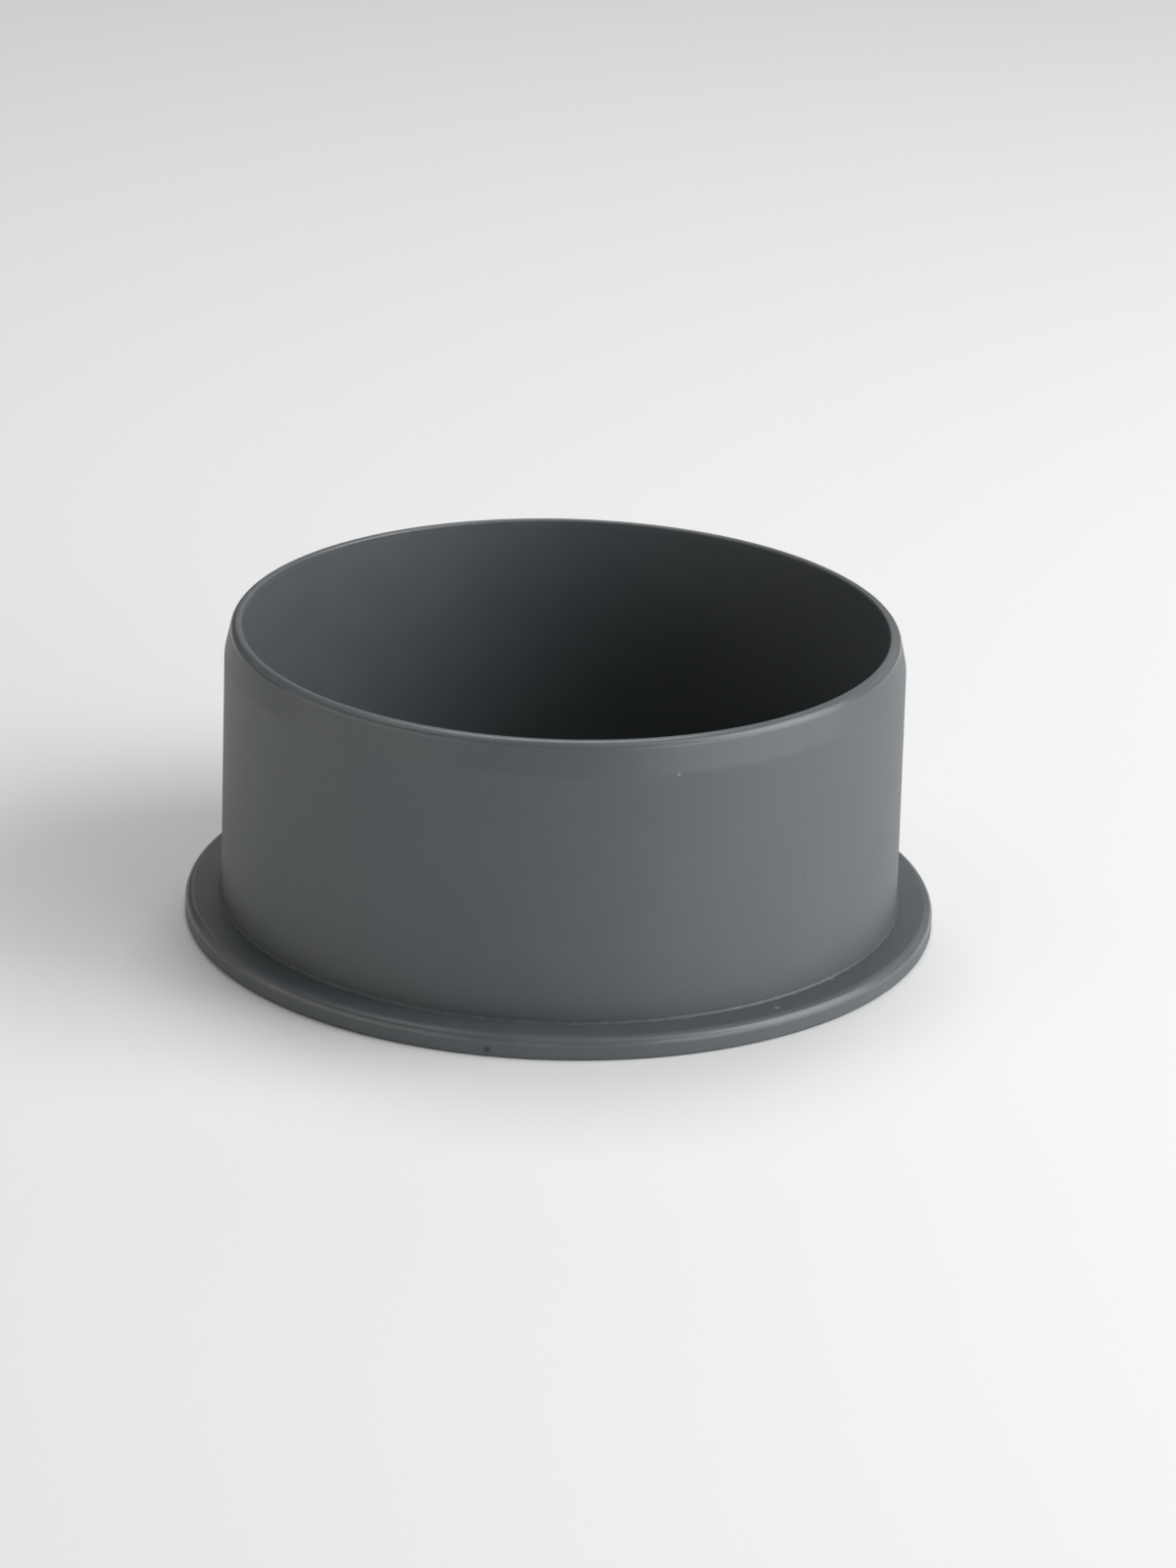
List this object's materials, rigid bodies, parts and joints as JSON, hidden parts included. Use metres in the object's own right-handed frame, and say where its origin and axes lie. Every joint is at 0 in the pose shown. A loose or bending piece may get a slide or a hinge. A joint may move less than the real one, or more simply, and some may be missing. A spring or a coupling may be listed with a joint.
{
  "type": "drain pipe end plug",
  "caption": "Moulded grey plastic cup with a bevelled open mouth and a thin flange round its closed end, which closes the socket of a drain pipe.",
  "frame": {"origin": "centre of the underside, where the plug's axis meets the surface that it stands on", "axes": "+Z along the plug's axis, from the closed, flanged end up to the open mouth; the plug is the same all round, so X and Y are any two directions square to it"},
  "size_m": [0.1224, 0.1224, 0.0498],
  "materials": {
    "grey_plastic": "dark grey polypropylene, satin, with the fine grain of its mould and a smoother lead-in and rim"
  },
  "bodies": {
    "root": {"end_plug": "grey_plastic"}
  },
  "joints": []
}
